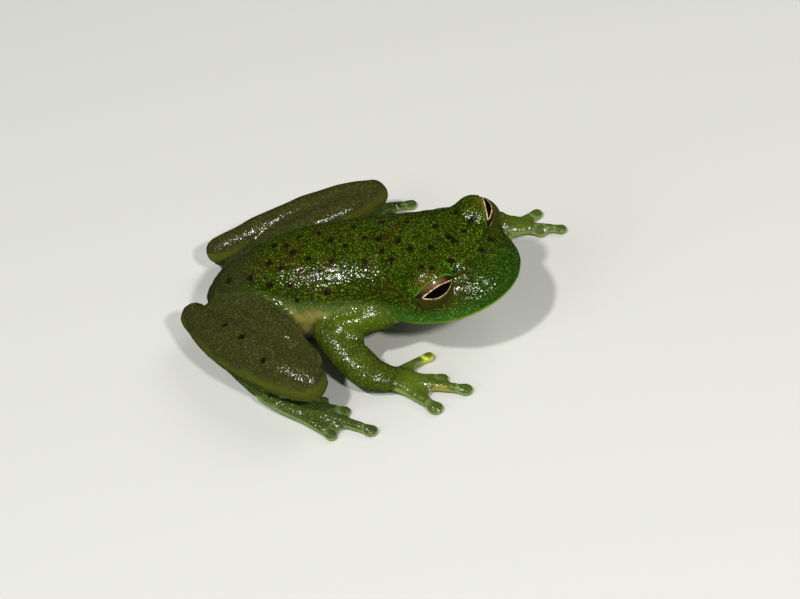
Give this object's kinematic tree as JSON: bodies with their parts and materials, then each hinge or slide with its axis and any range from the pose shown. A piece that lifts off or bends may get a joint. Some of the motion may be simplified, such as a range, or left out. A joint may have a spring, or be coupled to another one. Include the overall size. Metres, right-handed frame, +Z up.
{
  "type": "glass frog",
  "caption": "Small glass frog sitting with folded hind legs, head raised and turned a little to its right, wide rounded snout and spread hands with round finger discs.",
  "frame": {"origin": "centre of the bounding box on the ground plane", "axes": "+Z up, the frog faces -Y, its right side is -X and its left side is +X"},
  "size_m": [0.0274, 0.0308, 0.0096],
  "materials": {
    "back_skin": "moist fine-grained skin, olive green with small dark spots",
    "limb_skin": "moist smooth translucent skin, olive to yellow-green",
    "digit_skin": "moist smooth translucent skin, pale yellow-green",
    "eye": "wet gloss, copper-brown iris round a dark level pupil"
  },
  "bodies": {
    "root": {"head": "back_skin", "torso": "back_skin", "eye_left": "eye", "eye_right": "eye", "upper_arm_left": "limb_skin", "upper_arm_right": "limb_skin", "forearm_left": "limb_skin", "forearm_right": "limb_skin", "hand_left": "digit_skin", "hand_right": "digit_skin", "thigh_left": "limb_skin", "thigh_right": "limb_skin", "shank_left": "limb_skin", "shank_right": "limb_skin", "tarsus_left": "limb_skin", "tarsus_right": "limb_skin", "foot_left": "digit_skin", "foot_right": "digit_skin"}
  },
  "joints": []
}
